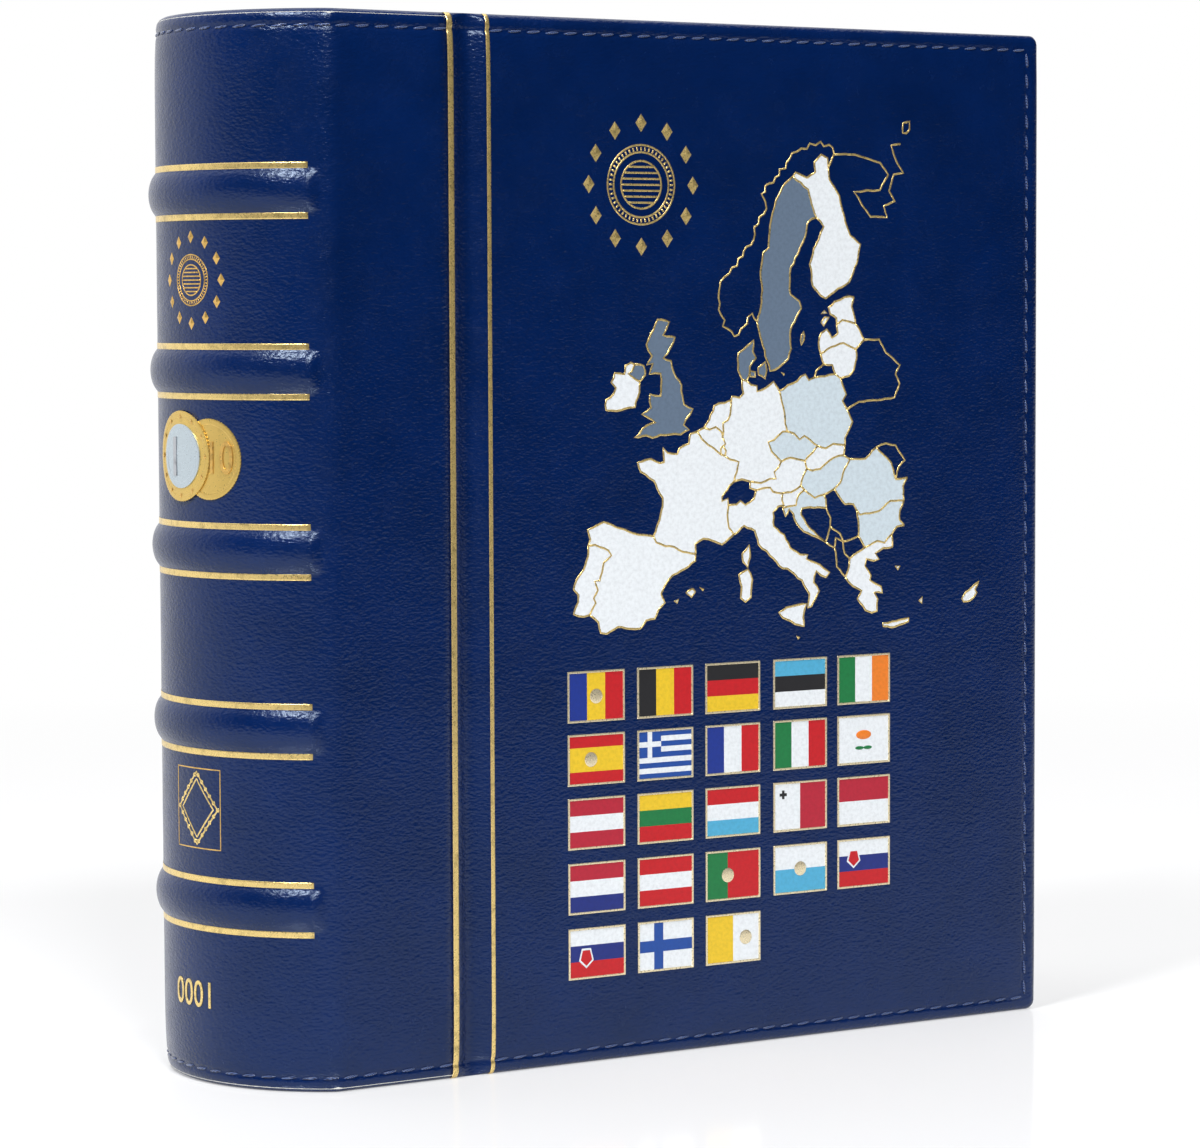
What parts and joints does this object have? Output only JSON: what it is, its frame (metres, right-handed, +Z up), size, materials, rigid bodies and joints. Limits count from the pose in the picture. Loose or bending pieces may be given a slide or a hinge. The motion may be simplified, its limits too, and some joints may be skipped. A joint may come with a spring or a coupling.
{
  "type": "coin album",
  "caption": "Padded leatherette ring album that stands upright: banded spine, hinged covers, a lever ring mechanism and coin sheets with sliding windows.",
  "frame": {"origin": "centre of the closed album's box, on the surface it stands on", "axes": "+X from the rounded spine to the fore edge, +Y from the front cover to the back cover, +Z up the spine"},
  "size_m": [0.256, 0.082, 0.28],
  "materials": {
    "leatherette": "satin navy, fine pebble grain",
    "foam": "thin padding foam",
    "greyboard": "raw greyboard",
    "band_cord": "raw pressed board",
    "endpaper": "matt dark blue lining",
    "plated_steel": "bright nickel plate",
    "bright_fixings": "polished",
    "ring_wire": "polished nickel plate",
    "tray_plastic": "fine matt",
    "backing_card": "uncoated",
    "clear_film": "clear glossy film"
  },
  "bodies": {
    "spine_case": {"spine_skin": "leatherette", "spine_padding": "foam", "spine_board": "greyboard", "front_strip_board": "greyboard", "back_strip_board": "greyboard", "spine_lining": "endpaper", "raised_bands": "band_cord", "front_hinge_web": "leatherette", "back_hinge_web": "leatherette", "mounting_batten": "greyboard", "mechanism_plate": "plated_steel", "mechanism_rivets": "bright_fixings", "lever_pins": "bright_fixings"},
    "front_cover": {"front_skin": "leatherette", "front_padding": "foam", "front_board": "greyboard", "front_lining": "endpaper"},
    "back_cover": {"back_skin": "leatherette", "back_padding": "foam", "back_board": "greyboard", "back_lining": "endpaper"},
    "front_rings": {"front_blade": "plated_steel", "front_ring_half_1": "ring_wire", "front_ring_half_2": "ring_wire", "front_ring_half_3": "ring_wire", "front_ring_half_4": "ring_wire"},
    "rear_rings": {"rear_blade": "plated_steel", "rear_ring_half_1": "ring_wire", "rear_ring_half_2": "ring_wire", "rear_ring_half_3": "ring_wire", "rear_ring_half_4": "ring_wire"},
    "upper_lever": {"top_lever": "plated_steel"},
    "lower_lever": {"bottom_lever": "plated_steel"},
    "sheet_1": {"sheet_1_tray": "tray_plastic", "sheet_1_card": "backing_card"},
    "windows_1": {"sheet_1_windows": "clear_film"},
    "sheet_2": {"sheet_2_tray": "tray_plastic", "sheet_2_card": "backing_card"},
    "windows_2": {"sheet_2_windows": "clear_film"},
    "sheet_3": {"sheet_3_tray": "tray_plastic", "sheet_3_card": "backing_card"},
    "windows_3": {"sheet_3_windows": "clear_film"},
    "sheet_4": {"sheet_4_tray": "tray_plastic", "sheet_4_card": "backing_card"},
    "windows_4": {"sheet_4_windows": "clear_film"},
    "sheet_5": {"sheet_5_tray": "tray_plastic", "sheet_5_card": "backing_card"},
    "windows_5": {"sheet_5_windows": "clear_film"},
    "sheet_6": {"sheet_6_tray": "tray_plastic", "sheet_6_card": "backing_card"},
    "windows_6": {"sheet_6_windows": "clear_film"},
    "sheet_7": {"sheet_7_tray": "tray_plastic", "sheet_7_card": "backing_card"},
    "windows_7": {"sheet_7_windows": "clear_film"},
    "sheet_8": {"sheet_8_tray": "tray_plastic", "sheet_8_card": "backing_card"},
    "windows_8": {"sheet_8_windows": "clear_film"}
  },
  "joints": [
    {"name": "front_cover_hinge", "type": "hinge", "parent": "spine_case", "child": "front_cover", "pos_m": [-0.0602, -0.03825, 0.14], "axis": [0, 0, -1], "range_deg": [0, 120], "deforming": ["front_hinge_web"]},
    {"name": "back_cover_hinge", "type": "hinge", "parent": "spine_case", "child": "back_cover", "pos_m": [-0.0602, 0.03825, 0.14], "axis": [0, 0, 1], "range_deg": [0, 120], "deforming": ["back_hinge_web"]},
    {"name": "ring_opening", "type": "hinge", "parent": "spine_case", "child": "front_rings", "pos_m": [-0.11512, -0.0122, 0.14], "axis": [0, 0, -1], "range_deg": [0, 5.5]},
    {"name": "rear_ring_opening", "type": "hinge", "parent": "spine_case", "child": "rear_rings", "pos_m": [-0.11512, 0.0122, 0.14], "axis": [0, 0, 1], "range_deg": [0, 5.5]},
    {"name": "top_lever_press", "type": "hinge", "parent": "spine_case", "child": "upper_lever", "pos_m": [-0.11462, 0, 0.254], "axis": [0, -1, 0], "range_deg": [0, 30]},
    {"name": "bottom_lever_press", "type": "hinge", "parent": "spine_case", "child": "lower_lever", "pos_m": [-0.11462, 0, 0.026], "axis": [0, 1, 0], "range_deg": [0, 30]},
    {"name": "sheet_1_turn", "type": "hinge", "parent": "spine_case", "child": "sheet_1", "pos_m": [-0.0918, 0, 0.14], "axis": [0, 0, -1], "range_deg": [0, 27]},
    {"name": "sheet_1_window_slide", "type": "slide", "parent": "sheet_1", "child": "windows_1", "axis": [1, 0, 0], "range_m": [0, 0.16]},
    {"name": "sheet_2_turn", "type": "hinge", "parent": "spine_case", "child": "sheet_2", "pos_m": [-0.0918, 0, 0.14], "axis": [0, 0, -1], "range_deg": [0, 23.63]},
    {"name": "sheet_2_window_slide", "type": "slide", "parent": "sheet_2", "child": "windows_2", "axis": [1, 0, 0], "range_m": [0, 0.16]},
    {"name": "sheet_3_turn", "type": "hinge", "parent": "spine_case", "child": "sheet_3", "pos_m": [-0.0918, 0, 0.14], "axis": [0, 0, -1], "range_deg": [0, 20.26]},
    {"name": "sheet_3_window_slide", "type": "slide", "parent": "sheet_3", "child": "windows_3", "axis": [1, 0, 0], "range_m": [0, 0.16]},
    {"name": "sheet_4_turn", "type": "hinge", "parent": "spine_case", "child": "sheet_4", "pos_m": [-0.0918, 0, 0.14], "axis": [0, 0, -1], "range_deg": [0, 16.87]},
    {"name": "sheet_4_window_slide", "type": "slide", "parent": "sheet_4", "child": "windows_4", "axis": [1, 0, 0], "range_m": [0, 0.16]},
    {"name": "sheet_5_turn", "type": "hinge", "parent": "spine_case", "child": "sheet_5", "pos_m": [-0.0918, 0, 0.14], "axis": [0, 0, -1], "range_deg": [0, 13.5]},
    {"name": "sheet_5_window_slide", "type": "slide", "parent": "sheet_5", "child": "windows_5", "axis": [1, 0, 0], "range_m": [0, 0.16]},
    {"name": "sheet_6_turn", "type": "hinge", "parent": "spine_case", "child": "sheet_6", "pos_m": [-0.0918, 0, 0.14], "axis": [0, 0, -1], "range_deg": [0, 10.13]},
    {"name": "sheet_6_window_slide", "type": "slide", "parent": "sheet_6", "child": "windows_6", "axis": [1, 0, 0], "range_m": [0, 0.16]},
    {"name": "sheet_7_turn", "type": "hinge", "parent": "spine_case", "child": "sheet_7", "pos_m": [-0.0918, 0, 0.14], "axis": [0, 0, -1], "range_deg": [0, 6.76]},
    {"name": "sheet_7_window_slide", "type": "slide", "parent": "sheet_7", "child": "windows_7", "axis": [1, 0, 0], "range_m": [0, 0.16]},
    {"name": "sheet_8_turn", "type": "hinge", "parent": "spine_case", "child": "sheet_8", "pos_m": [-0.0918, 0, 0.14], "axis": [0, 0, -1], "range_deg": [0, 3.37]},
    {"name": "sheet_8_window_slide", "type": "slide", "parent": "sheet_8", "child": "windows_8", "axis": [1, 0, 0], "range_m": [0, 0.16]}
  ],
  "couplings": [
    {"joint": "rear_ring_opening", "follows": "ring_opening", "ratio": 1},
    {"joint": "top_lever_press", "follows": "ring_opening", "ratio": 5.4544},
    {"joint": "bottom_lever_press", "follows": "ring_opening", "ratio": 5.4544},
    {"joint": "sheet_1_turn", "follows": "front_cover_hinge", "ratio": 0.225},
    {"joint": "sheet_2_turn", "follows": "front_cover_hinge", "ratio": 0.1969},
    {"joint": "sheet_3_turn", "follows": "front_cover_hinge", "ratio": 0.1688},
    {"joint": "sheet_4_turn", "follows": "front_cover_hinge", "ratio": 0.1406},
    {"joint": "sheet_5_turn", "follows": "front_cover_hinge", "ratio": 0.1125},
    {"joint": "sheet_6_turn", "follows": "front_cover_hinge", "ratio": 0.0844},
    {"joint": "sheet_7_turn", "follows": "front_cover_hinge", "ratio": 0.0563},
    {"joint": "sheet_8_turn", "follows": "front_cover_hinge", "ratio": 0.0281}
  ]
}
